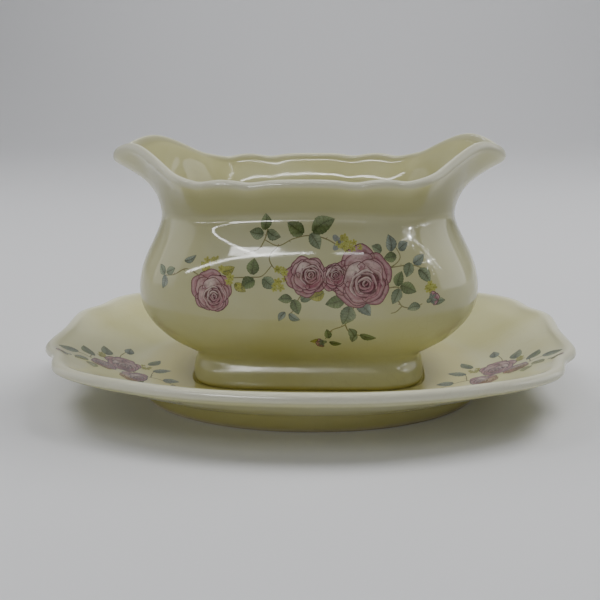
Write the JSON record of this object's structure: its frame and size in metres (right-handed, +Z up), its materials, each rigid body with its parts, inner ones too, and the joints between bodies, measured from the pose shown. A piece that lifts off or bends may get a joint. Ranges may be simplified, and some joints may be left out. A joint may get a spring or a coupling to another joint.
{
  "type": "gravy boat with underplate",
  "caption": "Footed earthenware gravy boat with a spout at each end, standing loose on a scalloped oval underplate.",
  "frame": {"origin": "centre of the underplate's foot, on the surface it stands on", "axes": "+Z up, X from spout to spout, Y across the boat"},
  "size_m": [0.231, 0.1646, 0.1129],
  "materials": {
    "ivory_glaze": "clear gloss glaze over ivory earthenware"
  },
  "bodies": {
    "underplate": {"underplate": "ivory_glaze"},
    "sauce_boat": {"sauce_boat": "ivory_glaze"}
  },
  "joints": [
    {"name": "boat_lift", "type": "slide", "parent": "underplate", "child": "sauce_boat", "axis": [0, 0, 1], "range_m": [0, 0.12]}
  ]
}
